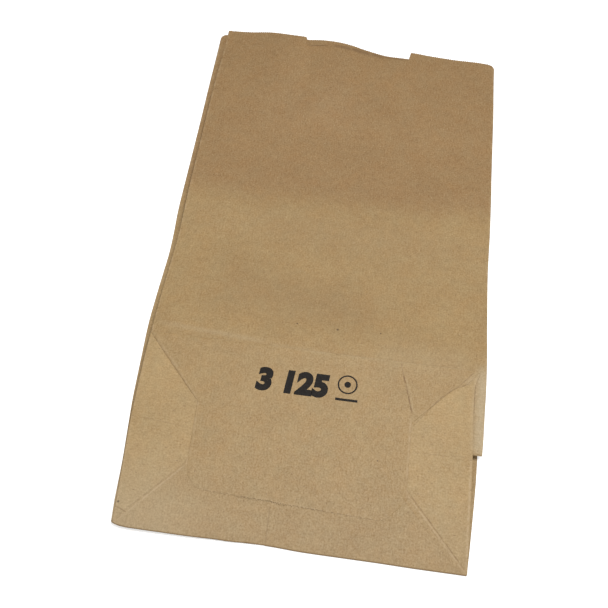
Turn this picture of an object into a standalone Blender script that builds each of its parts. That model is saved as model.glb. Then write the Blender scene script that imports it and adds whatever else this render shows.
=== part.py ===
"""Brown paper lunch bag, folded flat.

One kraft sheet, glued into a gusseted tube with a square bottom, is one solid here. The bag lies
on its rear panel: +X across the bag, +Y from the bottom fold to the mouth, +Z up, and the origin
is on the table under the middle of the bag.

The folded stack is first built dead flat, with its plies spread apart. Each ply is a thin slab at
its own level, each crease is a narrow wall that joins two levels, and a union makes them one body.
The stack is then settled: every point takes the sway and the height that its ply has in the
slightly sprung bag.
"""

import bpy
import bmesh
import numpy as np
from mathutils import Vector

# Driving dimensions in metres
WIDTH = 0.1524               # across the bag
HEIGHT = 0.2810              # rear panel, from the bottom fold to the mouth
BOTTOM_DEPTH = 0.0921        # short side of the bottom rectangle
FOLD_RISE = 0.0070           # front panel's fold, above the middle of the bottom rectangle
FRONT_OVERHANG = 0.0030      # front panel's edge at the mouth, past the rear panel's
CORNER_RADIUS = 0.0035       # soft corners at the mouth

PAPER = 0.00015              # sheet thickness
AIR = 0.00015                # air between plies that are pressed together
CREASE = 0.00030             # plan thickness of the paper that turns round a crease
NEST = 0.00080               # inner crease set back from the outer one at the front fold

NOTCH_WIDTH = 0.0575         # thumb notch in the front panel
NOTCH_DEPTH = 0.0055
NOTCH_FLARE = 0.0010         # how much its ends lean outwards
NOTCH_OFFSET = -0.0015       # its middle, from the bag's middle

FLAP_INSET = 0.0280          # side of both bottom flaps, in from the bag's side
FLAP_SLANT = 1.13            # rise of a flap's slanting side for each unit that it runs inwards
UPPER_EDGE = 0.0186          # upper flap's free edge, above the bottom fold
UPPER_CORNER = 0.0085        # corners taken off the upper flap
UPPER_SKEW = 0.0025          # its free edge drops this much from left to right
FLAP_LAP = 0.0335            # how far the two flaps overlap

SEAM_WIDTH = 0.0120          # long glued seam in the rear panel
SEAM_OFFSET = -0.0107        # its left edge, from the bag's middle

RIDGE_RISE = 0.0055          # spring of the stack at the crease between bottom and front
RIDGE_TILT = 0.0009          # more at the right side, less at the left
RIDGE_SLIP = 0.0020          # that crease lies lower at the left side
CORNER_LIFT = 0.0020         # left end of the bottom fold, off the table
LIFT_REACH = 0.0350          # how far up the bag that lift fades
MOUTH_BOW = 0.0072           # hump in the rear panel's free edge
BOW_OFFSET = -0.0162         # middle of the hump, from the bag's middle
BOW_SPREAD = 0.0200          # half width of the hump
BOW_REACH = 0.0700           # how far down the bag the hump fades
MOUTH_GAP = 0.0028           # front panel above the rear panel at the mouth
BOW_PRESS = 0.85             # share of that gap that the hump closes

COLUMNS = 14                 # facets across the bag
ROWS = 28                    # facets along the bag
WELD = 0.000005              # points closer than this are one point

# What follows from them
GUSSET_DEPTH = BOTTOM_DEPTH / 2
FRONT_FOLD = BOTTOM_DEPTH / 2 + FOLD_RISE
FRONT_HEIGHT = HEIGHT + FRONT_OVERHANG
FLAP_SHOULDER = FLAP_INSET * FLAP_SLANT
LOWER_REACH = UPPER_EDGE + FLAP_LAP
NOTCH_LEFT = WIDTH / 2 + NOTCH_OFFSET - NOTCH_WIDTH / 2
SEAM_LEFT = WIDTH / 2 + SEAM_OFFSET
BOW_PLACE = WIDTH / 2 + BOW_OFFSET

# The plies of the stack, from the table up, their spacing once settled, and while still spread
REAR, REAR_GUSSET, FRONT_GUSSET, FRONT, TURN, TURN_SIDE, SIDE, BOTTOM = range(8)
PITCH = PAPER + AIR
SPREAD = 5 * PAPER

# Sideways shift of a panel's left and right edges, in metres. The first number is the stage along
# the bag: 0 at the bottom fold, 1 at the ridge between bottom and front, 2 at the mouth.
REAR_EDGES = ((0.0, 0.0, -0.0010), (0.55, -0.0005, 0.0012), (1.0, -0.0032, 0.0),
              (1.3, -0.0022, -0.0010), (2.0, -0.0003, -0.0005))
FRONT_EDGES = ((0.55, 0.0005, 0.0029), (1.0, -0.0003, 0.0022), (1.3, 0.0011, 0.0013),
               (2.0, 0.0032, 0.0003))
BOTTOM_EDGES = ((0.0, 0.0, -0.0010), (0.55, -0.0020, -0.0020), (1.0, -0.0029, -0.0012))

# Spring of the front panel over the rear one, from the ridge (stage 1) to the mouth (stage 2)
SPRING = ((1.0, RIDGE_RISE), (1.15, 0.0031), (1.3, 0.0016), (1.42, 0.0026),
          (1.6, 0.0018), (1.81, 0.0013), (2.0, MOUTH_GAP))

KRAFT = (0.400, 0.260, 0.130, 1.0)
ROUGHNESS = 0.85


def track(stations, place, column=1):
    """Smooth curve through stations (place, value, ...): cubic pieces, level at its ends."""
    at = [row[0] for row in stations]
    value = [row[column] for row in stations]
    place = min(max(place, at[0]), at[-1])
    slopes = [0.0]
    for i in range(1, len(at) - 1):
        slopes.append((value[i + 1] - value[i - 1]) / (at[i + 1] - at[i - 1]))
    slopes.append(0.0)
    i = min(max(int(np.searchsorted(at, place)) - 1, 0), len(at) - 2)
    span = at[i + 1] - at[i]
    t = (place - at[i]) / span
    return (value[i] * (1 + 2 * t) * (1 - t) ** 2 + slopes[i] * span * t * (1 - t) ** 2
            + value[i + 1] * t * t * (3 - 2 * t) + slopes[i + 1] * span * t * t * (t - 1))


def fade(t):
    """Smooth step down, from 1 at t = 0 to 0 at t = 1."""
    t = min(max(t, 0.0), 1.0)
    return 1.0 - t * t * (3.0 - 2.0 * t)


def stage(y):
    """Place along the bag: 0 at the bottom fold, 1 at the ridge, 2 at the mouth."""
    if y <= BOTTOM_DEPTH:
        return y / BOTTOM_DEPTH
    return 1.0 + (y - BOTTOM_DEPTH) / (HEIGHT - BOTTOM_DEPTH)


def hump(x):
    """Bell of height 1 about the middle of the bow at the mouth."""
    return float(np.exp(-0.5 * ((x - BOW_PLACE) / BOW_SPREAD) ** 2))


def rear_height(x, y):
    """Underside of the rear panel: flat, but for the lifted corner and the bow at the mouth."""
    corner = CORNER_LIFT * fade(x / (WIDTH / 2)) * fade(y / LIFT_REACH)
    bow = MOUTH_BOW * hump(x) * fade((HEIGHT - y) / BOW_REACH)
    return corner + bow


def spring(x, y):
    """How far the front of the stack springs up from the rear panel."""
    tilt = RIDGE_TILT * (2 * x / WIDTH - 1)
    if y <= BOTTOM_DEPTH:
        return (RIDGE_RISE + tilt) * y / BOTTOM_DEPTH
    rise = track(SPRING, stage(y))
    closed = MOUTH_GAP * BOW_PRESS * hump(x) * fade((HEIGHT - y) / BOW_REACH)
    return rise + tilt * fade((y - BOTTOM_DEPTH) / BOTTOM_DEPTH) - closed


def gusset_share(x):
    """0 at the bag's side, 1 at the gusset's inner crease."""
    return min(min(x, WIDTH - x) / GUSSET_DEPTH, 1.0)


def ply_height(level, x, y):
    """Underside of a ply in the settled bag."""
    share = gusset_share(max(min(x, WIDTH), 0.0))
    rise = spring(x, y)
    lift = {REAR: 0.0, REAR_GUSSET: share / 2, FRONT_GUSSET: 1 - share / 2}.get(level, 1.0)
    plies = float(level)
    if level >= SIDE:
        # Below the front fold four plies end, and the bottom sinks onto the rear panel
        plies -= (SIDE - REAR_GUSSET - 1) * fade(y / FRONT_FOLD)
    return rear_height(x, y) + PITCH * plies + rise * lift


def ply_place(level, x, y):
    """Plan position of a point of a ply in the settled bag."""
    def slid(edges):
        across = x / WIDTH
        return track(edges, stage(y), 1) * (1 - across) + track(edges, stage(y), 2) * across

    share = gusset_share(x)
    if level == REAR:
        slide = slid(REAR_EDGES)
    elif level == FRONT:
        slide = slid(FRONT_EDGES)
    elif level > FRONT:
        slide = slid(BOTTOM_EDGES)
    else:
        own = REAR_EDGES if level == REAR_GUSSET else FRONT_EDGES
        other = FRONT_EDGES if level == REAR_GUSSET else REAR_EDGES
        slide = slid(own) * (1 - share / 2) + slid(other) * share / 2
    slip = RIDGE_SLIP * (1 - x / WIDTH) * fade(abs(y - BOTTOM_DEPTH) / BOTTOM_DEPTH)
    return x + slide, y - slip


def rounded_panel(left, right, low, high, round_left, round_right):
    """Outline of a panel whose corners at the mouth may be rounded, anticlockwise."""
    outline = [(left, low), (right, low)]
    angles = np.radians((0.0, 30.0, 60.0, 90.0))
    radius = CORNER_RADIUS
    if round_right:
        outline += [(right - radius + radius * np.cos(a), high - radius + radius * np.sin(a)) for a in angles]
    else:
        outline.append((right, high))
    if round_left:
        outline += [(left + radius - radius * np.sin(a), high - radius + radius * np.cos(a)) for a in angles]
    else:
        outline.append((left, high))
    return outline


def front_outline():
    """Front panel: one rounded corner, and the thumb notch in its free edge."""
    outline = rounded_panel(0.0, WIDTH, FRONT_FOLD + NEST, FRONT_HEIGHT, False, True)
    floor = FRONT_HEIGHT - NOTCH_DEPTH
    right = NOTCH_LEFT + NOTCH_WIDTH
    notch = [(right + NOTCH_FLARE, FRONT_HEIGHT), (right, floor),
             (NOTCH_LEFT, floor), (NOTCH_LEFT - NOTCH_FLARE, FRONT_HEIGHT)]
    corner_points = 4
    after_right_corner = 2 + corner_points
    return outline[:after_right_corner] + notch + outline[after_right_corner:]


def upper_flap_outline():
    """Flap that turns down from the ridge: slanting shoulders, straight sides, cut corners."""
    left, right = FLAP_INSET, WIDTH - FLAP_INSET
    shoulder = BOTTOM_DEPTH - FLAP_SHOULDER
    low, high = UPPER_EDGE - UPPER_SKEW / 2, UPPER_EDGE + UPPER_SKEW / 2
    return [(0.0, BOTTOM_DEPTH), (left, shoulder), (left, high + UPPER_CORNER * 0.6),
            (left + UPPER_CORNER * 0.3, high + UPPER_CORNER * 0.2), (left + UPPER_CORNER, high),
            (right - UPPER_CORNER, low), (right, low + UPPER_CORNER), (right, shoulder),
            (WIDTH, BOTTOM_DEPTH)]


def lower_flap_outline():
    """Flap that turns up from the bottom fold, its free edge hidden under the upper flap."""
    left, right = FLAP_INSET, WIDTH - FLAP_INSET
    return [(0.0, 0.0), (WIDTH, 0.0), (right, FLAP_SHOULDER), (right, LOWER_REACH),
            (left, LOWER_REACH), (left, FLAP_SHOULDER)]


def mirrored(outline):
    """The same outline on the bag's other side."""
    return [(WIDTH - x, y) for x, y in reversed(outline)]


def slab(outline, low, high):
    """Closed prism over a plan outline."""
    bm = bmesh.new()
    base = bm.faces.new([bm.verts.new((x, y, low)) for x, y in outline])
    grown = bmesh.ops.extrude_face_region(bm, geom=[base])
    top = [v for v in grown["geom"] if isinstance(v, bmesh.types.BMVert)]
    bmesh.ops.translate(bm, verts=top, vec=Vector((0.0, 0.0, high - low)))
    bmesh.ops.recalc_face_normals(bm, faces=bm.faces)
    mesh = bpy.data.meshes.new("slab")
    bm.to_mesh(mesh)
    bm.free()
    return bpy.data.objects.new("slab", mesh)


def ply(outline, level, layers=1):
    """One panel of the sheet at its level in the flat stack."""
    return slab(outline, level * SPREAD, level * SPREAD + layers * PAPER)


def crease(start, end, low_level, high_level, layers=1):
    """Wall on the left of the line start-end that joins two plies of the flat stack."""
    start, end = Vector(start), Vector(end)
    along = (end - start).normalized()
    inward = Vector((-along.y, along.x)) * CREASE
    outline = [start, end, end + inward, start + inward]
    return slab([tuple(p) for p in outline], low_level * SPREAD, high_level * SPREAD + layers * PAPER)


def side_plies(flip):
    """Gusset, turned-in side triangles and their creases on one side of the bag."""
    def put(outline):
        return mirrored(outline) if flip else outline

    def fold(start, end, low_level, high_level, layers=1):
        if flip:
            start, end = (WIDTH - end[0], end[1]), (WIDTH - start[0], start[1])
        return crease(start, end, low_level, high_level, layers)

    apex = (GUSSET_DEPTH, FRONT_FOLD)
    short_of_apex = (GUSSET_DEPTH * 0.97, FRONT_FOLD * 0.97)
    mouth = HEIGHT - CORNER_RADIUS
    rear_gusset = [(0.0, 0.0), apex, (GUSSET_DEPTH, HEIGHT)]
    front_gusset = [(0.0, FRONT_FOLD), apex, (GUSSET_DEPTH, HEIGHT)]
    corner = rounded_panel(0.0, WIDTH, 0.0, HEIGHT, True, True)[6:]
    return [
        ply(put(rear_gusset + corner), REAR_GUSSET),
        ply(put(front_gusset + corner), FRONT_GUSSET),
        ply(put([(0.0, BOTTOM_DEPTH), (0.0, FRONT_FOLD), apex]), TURN_SIDE),
        ply(put([(0.0, BOTTOM_DEPTH), (0.0, 0.0), apex]), SIDE),
        fold((0.0, mouth), (0.0, 0.0), REAR, REAR_GUSSET),
        fold((0.0, mouth), (0.0, FRONT_FOLD + NEST), FRONT_GUSSET, FRONT),
        fold((GUSSET_DEPTH, FRONT_FOLD), (GUSSET_DEPTH, HEIGHT), REAR_GUSSET, FRONT_GUSSET),
        fold((0.0, BOTTOM_DEPTH), (0.0, FRONT_FOLD + NEST), TURN, TURN_SIDE),
        fold((0.0, BOTTOM_DEPTH), (0.0, 0.0), SIDE, BOTTOM),
        fold((0.0, FRONT_FOLD), apex, FRONT_GUSSET, TURN_SIDE),
        fold(apex, (0.0, BOTTOM_DEPTH), TURN_SIDE, SIDE),
        fold((0.0, 0.0), short_of_apex, REAR_GUSSET, SIDE),
    ]


def panel_plies():
    """Rear, front and bottom panels, the flaps, the seam and the creases across the bag."""
    seam = [(SEAM_LEFT, 0.0), (SEAM_LEFT + SEAM_WIDTH, 0.0),
            (SEAM_LEFT + SEAM_WIDTH, HEIGHT), (SEAM_LEFT, HEIGHT)]
    turn = [(0.0, FRONT_FOLD + NEST), (WIDTH, FRONT_FOLD + NEST), (WIDTH, BOTTOM_DEPTH), (0.0, BOTTOM_DEPTH)]
    bottom = [(0.0, 0.0), (WIDTH, 0.0), (WIDTH, BOTTOM_DEPTH), (0.0, BOTTOM_DEPTH)]
    return [
        ply(rounded_panel(0.0, WIDTH, 0.0, HEIGHT, True, True), REAR),
        ply(seam, REAR, 2),
        ply(front_outline(), FRONT),
        ply(turn, TURN),
        ply(bottom, BOTTOM),
        ply(lower_flap_outline(), BOTTOM, 2),
        ply(upper_flap_outline(), BOTTOM, 3),
        crease((0.0, 0.0), (WIDTH, 0.0), REAR, BOTTOM, 2),
        crease((WIDTH, BOTTOM_DEPTH), (0.0, BOTTOM_DEPTH), TURN, BOTTOM, 3),
        crease((0.0, FRONT_FOLD + NEST), (WIDTH, FRONT_FOLD + NEST), FRONT, TURN),
    ]


def united(pieces):
    """Boolean union of the flat pieces, as a bmesh. The pieces themselves are removed."""
    operands = bpy.data.collections.new("pieces")
    bpy.context.scene.collection.children.link(operands)
    body = pieces[0]
    bpy.context.scene.collection.objects.link(body)
    for piece in pieces[1:]:
        operands.objects.link(piece)
    joint = body.modifiers.new("union", "BOOLEAN")
    joint.operation = "UNION"
    joint.solver = "EXACT"
    joint.use_self = True
    joint.operand_type = "COLLECTION"
    joint.collection = operands
    graph = bpy.context.evaluated_depsgraph_get()
    bm = bmesh.new()
    bm.from_mesh(body.evaluated_get(graph).to_mesh())
    for piece in pieces:
        bpy.data.objects.remove(piece, do_unlink=True)
    bpy.data.collections.remove(operands)
    return bm


def cut_into_facets(bm):
    """Score the flat stack along a grid, so that it can bend, and make triangles of it."""
    bmesh.ops.remove_doubles(bm, verts=bm.verts, dist=WELD)
    for i in range(1, COLUMNS):
        everything = bm.verts[:] + bm.edges[:] + bm.faces[:]
        bmesh.ops.bisect_plane(bm, geom=everything, dist=WELD,
                               plane_co=(WIDTH * i / COLUMNS, 0.0, 0.0), plane_no=(1.0, 0.0, 0.0))
    for j in range(1, ROWS):
        everything = bm.verts[:] + bm.edges[:] + bm.faces[:]
        bmesh.ops.bisect_plane(bm, geom=everything, dist=WELD,
                               plane_co=(0.0, FRONT_HEIGHT * j / ROWS, 0.0), plane_no=(0.0, 1.0, 0.0))
    bmesh.ops.remove_doubles(bm, verts=bm.verts, dist=WELD)
    bmesh.ops.triangulate(bm, faces=bm.faces)


def settle(bm):
    """Move every point from the flat stack to its place in the slightly sprung bag."""
    for vert in bm.verts:
        x, y, z = vert.co
        level = int((z + PAPER) / SPREAD)
        above = z - level * SPREAD
        place = ply_place(level, x, y)
        vert.co = (place[0], place[1], ply_height(level, x, y) + above)


def centre(bm):
    """Put the origin on the table, under the middle of the bag's outline."""
    for axis in (0, 1):
        places = [vert.co[axis] for vert in bm.verts]
        middle = (min(places) + max(places)) / 2
        for vert in bm.verts:
            vert.co[axis] -= middle


def kraft_material():
    """Unbleached brown paper: dull, warm and rough."""
    material = bpy.data.materials.new("kraft_paper")
    material.use_nodes = True
    shader = material.node_tree.nodes["Principled BSDF"]
    shader.inputs["Base Color"].default_value = KRAFT
    shader.inputs["Roughness"].default_value = ROUGHNESS
    shader.inputs["Metallic"].default_value = 0.0
    material.diffuse_color = KRAFT
    return material


def clear_scene():
    for item in list(bpy.data.objects):
        bpy.data.objects.remove(item, do_unlink=True)


def main():
    clear_scene()
    bm = united(panel_plies() + side_plies(False) + side_plies(True))
    cut_into_facets(bm)
    settle(bm)
    centre(bm)
    mesh = bpy.data.meshes.new("paper_bag")
    bm.to_mesh(mesh)
    bm.free()
    mesh.materials.append(kraft_material())
    bag = bpy.data.objects.new("paper_bag", mesh)
    bpy.context.scene.collection.objects.link(bag)


main()
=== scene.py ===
# %% [markdown]
# # A brown paper lunch bag, folded flat
# A lunch bag is one sheet of kraft paper. A machine glues it into a tube with a gusset in each
# side, opens one end into a square bottom, folds that bottom up against the front and presses the
# bag flat. This lesson builds it the same way: every ply of the folded bag is a grid of points
# worked out with numpy, every crease is a small half round that joins two plies, and the welded
# sheet is given its thickness at the end. The colour and the fibres come from shader nodes.

import bpy
import bmesh
import numpy as np
from mathutils import Euler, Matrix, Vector


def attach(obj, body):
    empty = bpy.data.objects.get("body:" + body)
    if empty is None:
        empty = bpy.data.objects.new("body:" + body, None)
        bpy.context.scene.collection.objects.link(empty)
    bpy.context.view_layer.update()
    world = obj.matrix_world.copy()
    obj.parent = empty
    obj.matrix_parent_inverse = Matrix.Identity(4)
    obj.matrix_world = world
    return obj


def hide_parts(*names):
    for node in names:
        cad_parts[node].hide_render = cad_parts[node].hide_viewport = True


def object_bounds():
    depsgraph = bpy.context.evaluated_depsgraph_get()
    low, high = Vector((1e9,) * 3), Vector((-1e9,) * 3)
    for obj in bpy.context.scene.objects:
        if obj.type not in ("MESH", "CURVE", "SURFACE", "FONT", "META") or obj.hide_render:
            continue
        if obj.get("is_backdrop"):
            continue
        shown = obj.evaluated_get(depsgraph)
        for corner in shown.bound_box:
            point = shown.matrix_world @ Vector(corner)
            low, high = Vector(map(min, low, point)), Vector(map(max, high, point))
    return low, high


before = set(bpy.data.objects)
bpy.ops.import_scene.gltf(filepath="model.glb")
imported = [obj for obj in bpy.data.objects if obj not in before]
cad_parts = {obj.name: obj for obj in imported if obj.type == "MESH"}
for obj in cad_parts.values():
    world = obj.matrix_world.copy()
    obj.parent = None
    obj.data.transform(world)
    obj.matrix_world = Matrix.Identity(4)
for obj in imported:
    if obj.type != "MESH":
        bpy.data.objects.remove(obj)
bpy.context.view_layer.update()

# %% [markdown]
# ## The bag's sizes
# The bag is drawn in its own plan: x runs from its left edge, y from the bottom fold to the mouth,
# both in millimetres, as a ruler laid on the bag would read them. One step at the very end moves
# the finished sheet to the frame's origin, the middle of the bag, and turns millimetres to metres.

# %% Sizes in millimetres
MM = 0.001
MIDDLE = (76.035, 142.0)         # plan place of the frame's origin
WIDTH, HEIGHT = 152.4, 281.0     # bag's width, and rear panel from bottom fold to mouth
BOTTOM = 92.1                    # short side of the bottom rectangle
GUSSET = BOTTOM / 2              # depth of a side gusset
FRONT_FOLD = GUSSET + 7.0        # where the front panel turns up
OVERHANG = 3.0                   # front edge at the mouth past the rear edge
CORNER = 3.5                     # radius of the soft corners at the mouth
NOTCH_LEFT, NOTCH_RIGHT = 45.95, 103.45
NOTCH_DEPTH, NOTCH_FLARE = 5.5, 1.0
PAPER = 0.10                     # sheet thickness
PITCH = 0.22                     # ply to ply where the stack is pressed
SEAM_OPEN, SEAM_END = 65.6, 77.6  # lap of the glued seam
SEAM_STEP = 0.11                 # how much the lap lifts the left strip
SEAM_SLOPE = (60.0, 65.0)        # where it climbs
LOWER_FLAP_RISE = 0.26           # lower and upper flap above the base ply of the bottom
UPPER_FLAP_RISE = 0.38
HEM_DROP = 0.13                  # paper turned under at a flap's side
# The plies from the table up; the last four belong to the bottom rectangle
REAR, REAR_GUSSET, FRONT_GUSSET, FRONT, TURN, TURN_SIDE, SIDE, BASE = range(8)
print(f"bag {WIDTH} x {HEIGHT} mm, bottom {WIDTH} x {BOTTOM} mm, front fold at {FRONT_FOLD} mm")

# %% [markdown]
# ## The camera
# The photograph looks down on the bag from its bottom end. The place, the turn and the lens were
# found by fitting a pinhole camera to the corners of the bag, whose sizes are known. Nothing else
# in the scene depends on the camera.

# %% Camera
CAMERA_PLACE = (71.04, -113.79, 419.12)
CAMERA_TURN = (0.5034, -0.0600, 0.1266)
FOCAL_PIXELS = 996.7             # focal length in pixels of the 608 pixel picture
PICTURE = 608
SENSOR = 36.0


def placed(name, data):
    """A new object with this data, put into the scene."""
    made = bpy.data.objects.new(name, data)
    bpy.context.scene.collection.objects.link(made)
    return made


lens = bpy.data.cameras.new("camera")
lens.sensor_width = SENSOR
lens.lens = FOCAL_PIXELS * SENSOR / PICTURE
lens.clip_start = 0.01
camera = placed("camera", lens)
camera.location = ((CAMERA_PLACE[0] - MIDDLE[0]) * MM, (CAMERA_PLACE[1] - MIDDLE[1]) * MM,
                   CAMERA_PLACE[2] * MM)
camera.rotation_euler = Euler(CAMERA_TURN, "XYZ")
bpy.context.scene.camera = camera
print("lens", round(lens.lens, 1), "mm, camera at", [round(v, 3) for v in camera.location])

# %% [markdown]
# ## How the pressed bag springs
# Paper doesn't lie dead flat. The stack of plies at the bottom springs up into a ridge, the front
# panel floats over the rear one in long waves, the mouth bows, and each panel has slipped a
# millimetre or two sideways. Each of these is a smooth function of the place on the bag, so every
# ply can ask the same functions where it goes, and plies never cross.

# %% Smooth curves


def track(stations, at, column=1):
    """Cubic Hermite curve through rows (place, value, ...): slopes are those of the chord between
    the two neighbours, and zero at both ends."""
    rows = np.array(stations, float)
    place, value = rows[:, 0], rows[:, column]
    slope = np.zeros_like(value)
    slope[1:-1] = (value[2:] - value[:-2]) / (place[2:] - place[:-2])
    at = np.clip(at, place[0], place[-1])
    i = np.clip(np.searchsorted(place, at) - 1, 0, len(place) - 2)
    span = place[i + 1] - place[i]
    t = (at - place[i]) / span
    return (value[i] * (1 + 2 * t) * (1 - t) ** 2 + slope[i] * span * t * (1 - t) ** 2
            + value[i + 1] * t * t * (3 - 2 * t) + slope[i + 1] * span * t * t * (t - 1))


def fade(t):
    """Smooth step down: 1 - t^2 (3 - 2 t), held at 1 before t = 0 and at 0 after t = 1."""
    t = np.clip(t, 0.0, 1.0)
    return 1.0 - t * t * (3.0 - 2.0 * t)


def bell(distance, spread):
    """Gaussian exp(-d^2 / 2 s^2)."""
    return np.exp(-0.5 * (distance / spread) ** 2)


def stage(y):
    """Place along the bag: 0 at the bottom fold, 1 at the ridge, 2 at the mouth."""
    return np.where(y <= BOTTOM, y / BOTTOM, 1.0 + (y - BOTTOM) / (HEIGHT - BOTTOM))


# %% Springs and slips
# Sideways slip of a panel's left and right edge (stage, left, right)
REAR_EDGES = ((0.0, -0.6, -1.0), (0.11, -1.2, -0.4), (0.33, -2.0, 0.6), (0.48, -2.8, 1.1), (0.64, -3.6, 1.1),
              (0.80, -3.9, 0.8), (0.93, -4.1, 0.2), (1.04, -4.2, -0.2), (1.12, -3.5, -0.5),
              (1.18, -2.8, -0.7), (1.24, -2.1, -0.9), (1.30, -2.1, -1.0), (1.37, -2.5, -0.9),
              (1.50, -2.1, -0.8), (1.64, -1.6, -0.7), (1.79, -1.1, -0.6), (2.0, -0.3, -0.5))
FRONT_EDGES = ((0.55, -1.9, 2.4), (0.65, -1.8, 2.6), (0.80, -1.65, 2.6), (0.90, -1.5, 2.65), (1.0, -1.3, 2.5),
               (1.12, -0.8, 2.3), (1.3, 0.7, 1.9), (1.5, 0.9, 1.9), (1.8, 1.8, 1.2), (2.0, 3.2, 0.3))
BOTTOM_EDGES = ((0.0, 0.0, -1.0), (0.25, -0.9, -1.2), (0.45, -1.7, -1.6), (0.65, -1.9, -2.2), (0.85, -1.7, -2.8),
                (1.0, -1.3, -2.7))
DOG_EAR, EAR_REACH = 2.2, 3.5    # pull on the bottom's right corner at the ridge
FOLD_SAG, SAG_REACH = 1.2, 12.0  # drop of the front fold at its right end
RIDGE_RISE, RIDGE_TILT, RIDGE_SLIP = 5.5, 0.9, 2.0
SPRING = ((1.0, RIDGE_RISE), (1.15, 3.1), (1.3, 1.6), (1.42, 2.6), (1.6, 1.8), (1.81, 1.3), (2.0, 1.0))
# At the mouth: (x, rear panel off the table, front panel above the rear, front panel slid back)
MOUTH = ((0.0, 1.7, 0.05, 0.0), (12.0, 3.4, 0.05, 0.8), (24.0, 5.8, 0.15, 1.2), (33.0, 6.9, 0.15, 1.9),
         (44.0, 7.2, 0.10, 2.4), (48.0, 6.7, 0.05, 2.4), (56.0, 8.0, 0.05, 2.3), (63.0, 8.2, 0.05, 2.2),
         (71.0, 7.4, 0.05, 2.6), (77.5, 5.7, 0.10, 2.8), (84.0, 4.1, 0.15, 2.5), (90.0, 2.8, 0.4, 1.7),
         (94.0, 2.3, 0.8, 1.2), (101.0, 2.5, 1.2, 0.8), (105.0, 2.5, 1.4, 0.0), (115.0, 2.3, 1.0, 0.0),
         (130.0, 2.1, 0.8, 0.0), (142.0, 2.2, 1.1, 0.0), (152.4, 2.1, 0.9, 0.0))
BOW_REACH, MOUTH_REACH = 70.0, 40.0
CORNER_LIFT, LIFT_REACH = 2.0, 35.0
# Waver of the bottom fold (share of the width, mm towards the mouth)
WAVER = ((0.0, 0.3), (0.006, -0.1), (0.012, -0.5), (0.023, -0.8), (0.035, -1.0), (0.06, -1.05), (0.14, -0.95),
         (0.21, -0.85), (0.25, -0.65), (0.29, -0.4), (0.33, -0.4), (0.37, -0.05), (0.41, 0.1), (0.45, 0.05),
         (0.48, -0.1), (0.53, -0.45), (0.7, -0.45), (0.76, -0.45), (0.84, -0.6), (0.95, -0.55), (1.0, -0.55))
WAVER_REACH = 14.0
SWELL_ROOM = 1.5                 # spring under a ply that lets swells reach their full height

# Soft dents and swells (x, y, spread across, spread along, height)
SWELLS = ((112.0, 6.0, 7.0, 4.0, -0.35), (40.0, 8.0, 12.0, 5.0, 0.20), (146.0, 20.0, 12.0, 14.0, 0.15),
          (14.0, 30.0, 7.0, 12.0, 0.18), (140.0, 60.0, 8.0, 14.0, 0.22), (60.0, 40.0, 14.0, 10.0, -0.15),
          (95.0, 48.0, 9.0, 8.0, 0.26), (76.0, 26.0, 20.0, 5.0, 0.25), (40.0, 70.0, 12.0, 8.0, 0.18),
          (112.0, 56.0, 7.0, 9.0, -0.28), (70.0, 56.0, 9.0, 7.0, 0.20), (52.0, 26.0, 9.0, 6.0, -0.22),
          (100.0, 80.0, 10.0, 6.0, -0.12), (30.0, 130.0, 22.0, 14.0, 0.35), (120.0, 126.0, 20.0, 12.0, -0.3),
          (140.0, 196.0, 14.0, 5.0, 0.35), (132.0, 206.0, 18.0, 5.0, -0.30), (60.0, 190.0, 26.0, 16.0, -0.3),
          (30.0, 232.0, 18.0, 16.0, 0.3), (118.0, 244.0, 16.0, 12.0, 0.3), (80.0, 108.0, 26.0, 6.0, -0.2))


def rear_height(x, y):
    """Rear panel off the table: the lifted corner and the bow at the mouth."""
    corner = CORNER_LIFT * fade(x / (WIDTH / 2)) * fade(y / LIFT_REACH)
    return corner + track(MOUTH, x, 1) * fade((HEIGHT - y) / BOW_REACH)


def spring(x, y):
    """Front of the stack above the rear panel: a straight rise to the ridge, the long waves, then
    the mouth's own profile."""
    tilt = RIDGE_TILT * (2 * x / WIDTH - 1)
    below = (RIDGE_RISE + tilt) * np.clip(y / BOTTOM, 0.0, 1.0)
    above = track(SPRING, stage(y)) + tilt * fade((y - BOTTOM) / BOTTOM)
    at_mouth = fade((HEIGHT - y) / MOUTH_REACH)
    above = above * (1 - at_mouth) + track(MOUTH, x, 2) * at_mouth
    return np.where(y <= BOTTOM, below, above)


def swells(x, y):
    """Sum of soft bells, each with its own place, spread and height."""
    total = np.zeros_like(x)
    for middle_x, middle_y, across, along, height in SWELLS:
        total += height * bell(x - middle_x, across) * bell(y - middle_y, along)
    return total


def height_of(level, x, y):
    """Middle of a ply: rear panel + plies below it + its share of the spring."""
    x = np.clip(x, 0.0, WIDTH)
    share = np.clip(np.minimum(x, WIDTH - x) / GUSSET, 0.0, 1.0)
    lift = {REAR: 0.0, REAR_GUSSET: share / 2, FRONT_GUSSET: 1 - share / 2}.get(level, 1.0)
    plies = level + 0.0 * y
    if level >= SIDE:
        plies = plies - (SIDE - REAR_GUSSET - 1) * fade(y / FRONT_FOLD)
    loose = swells(x, y) * np.clip(spring(x, y) / SWELL_ROOM, 0.0, 1.0)
    return rear_height(x, y) + PITCH * plies + (spring(x, y) + loose) * lift + PAPER / 2


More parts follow.
